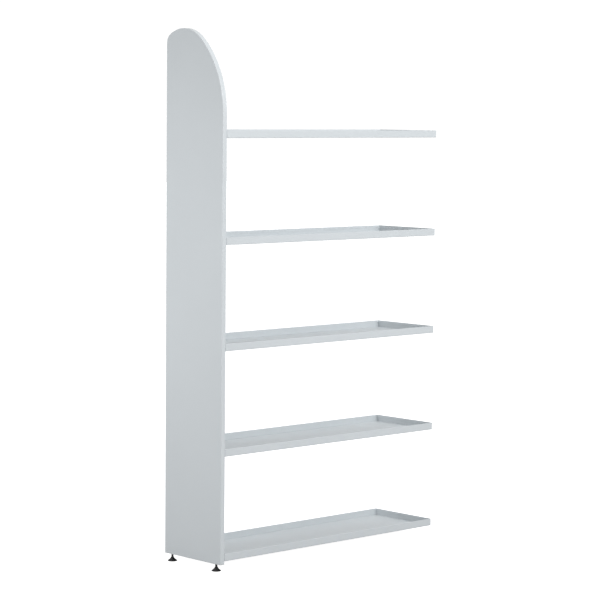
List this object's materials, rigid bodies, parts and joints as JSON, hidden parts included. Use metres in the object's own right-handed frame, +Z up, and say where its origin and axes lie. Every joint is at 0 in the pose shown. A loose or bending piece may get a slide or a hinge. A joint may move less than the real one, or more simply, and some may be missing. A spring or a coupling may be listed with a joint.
{
  "type": "shelving bay",
  "caption": "Add-on shelving bay: hollow steel end panel with a swept-back crown on levelling feet, and rimmed tray shelves on hook-in clips, their far ends free for the next bay.",
  "frame": {"origin": "on the floor, under the middle of the bay's bounding box", "axes": "+Z up, +X along the shelves away from the end panel, -Y the shop front"},
  "size_m": [1.0246, 0.285, 1.794],
  "materials": {
    "grey_powder_coat": "light cool-grey powder coat, fine texture, satin",
    "galvanised_steel": "galvanised sheet, dull",
    "zinc_plated_steel": "bright zinc plate",
    "black_zinc_steel": "black passivated, satin",
    "black_plastic": "moulded, fine matt texture"
  },
  "bodies": {
    "end_panel": {"outer_skin": "grey_powder_coat", "slotted_skin": "grey_powder_coat", "front_upright": "galvanised_steel", "rear_upright": "galvanised_steel", "lower_rail": "galvanised_steel", "middle_rail": "galvanised_steel", "upper_rail": "galvanised_steel", "crown_rail": "galvanised_steel", "base_plate": "galvanised_steel", "skin_screws": "zinc_plated_steel", "rail_rivets": "zinc_plated_steel", "front_foot_bush": "zinc_plated_steel", "rear_foot_bush": "zinc_plated_steel", "shelf_1_front_clip": "zinc_plated_steel", "shelf_1_rear_clip": "zinc_plated_steel", "shelf_2_front_clip": "zinc_plated_steel", "shelf_2_rear_clip": "zinc_plated_steel", "shelf_3_front_clip": "zinc_plated_steel", "shelf_3_rear_clip": "zinc_plated_steel", "shelf_4_front_clip": "zinc_plated_steel", "shelf_4_rear_clip": "zinc_plated_steel", "shelf_5_front_clip": "zinc_plated_steel", "shelf_5_rear_clip": "zinc_plated_steel"},
    "shelf_1": {"shelf_1_tray": "grey_powder_coat"},
    "shelf_2": {"shelf_2_tray": "grey_powder_coat"},
    "shelf_3": {"shelf_3_tray": "grey_powder_coat"},
    "shelf_4": {"shelf_4_tray": "grey_powder_coat"},
    "shelf_5": {"shelf_5_tray": "grey_powder_coat"},
    "front_foot_base": {"front_foot_base": "black_plastic"},
    "front_foot_stud": {"front_foot_stud": "black_zinc_steel"},
    "rear_foot_base": {"rear_foot_base": "black_plastic"},
    "rear_foot_stud": {"rear_foot_stud": "black_zinc_steel"}
  },
  "joints": [
    {"name": "shelf_1_lift", "type": "slide", "parent": "end_panel", "child": "shelf_1", "axis": [0, 0, 1], "range_m": [0, 0.05]},
    {"name": "shelf_2_lift", "type": "slide", "parent": "end_panel", "child": "shelf_2", "axis": [0, 0, 1], "range_m": [0, 0.05]},
    {"name": "shelf_3_lift", "type": "slide", "parent": "end_panel", "child": "shelf_3", "axis": [0, 0, 1], "range_m": [0, 0.05]},
    {"name": "shelf_4_lift", "type": "slide", "parent": "end_panel", "child": "shelf_4", "axis": [0, 0, 1], "range_m": [0, 0.05]},
    {"name": "shelf_5_lift", "type": "slide", "parent": "end_panel", "child": "shelf_5", "axis": [0, 0, 1], "range_m": [0, 0.05]},
    {"name": "front_foot_height", "type": "slide", "parent": "end_panel", "child": "front_foot_base", "axis": [0, 0, -1], "range_m": [-0.005, 0.0125]},
    {"name": "front_foot_turn", "type": "hinge", "parent": "front_foot_base", "child": "front_foot_stud", "pos_m": [-0.49625, -0.1125, 0], "axis": [0, 0, -1], "range_deg": [-1440, 3600]},
    {"name": "rear_foot_height", "type": "slide", "parent": "end_panel", "child": "rear_foot_base", "axis": [0, 0, -1], "range_m": [-0.005, 0.0125]},
    {"name": "rear_foot_turn", "type": "hinge", "parent": "rear_foot_base", "child": "rear_foot_stud", "pos_m": [-0.49625, 0.1125, 0], "axis": [0, 0, -1], "range_deg": [-1440, 3600]}
  ],
  "couplings": [
    {"joint": "front_foot_height", "follows": "front_foot_turn", "m_per_rad": 0.00019894},
    {"joint": "rear_foot_height", "follows": "rear_foot_turn", "m_per_rad": 0.00019894}
  ]
}
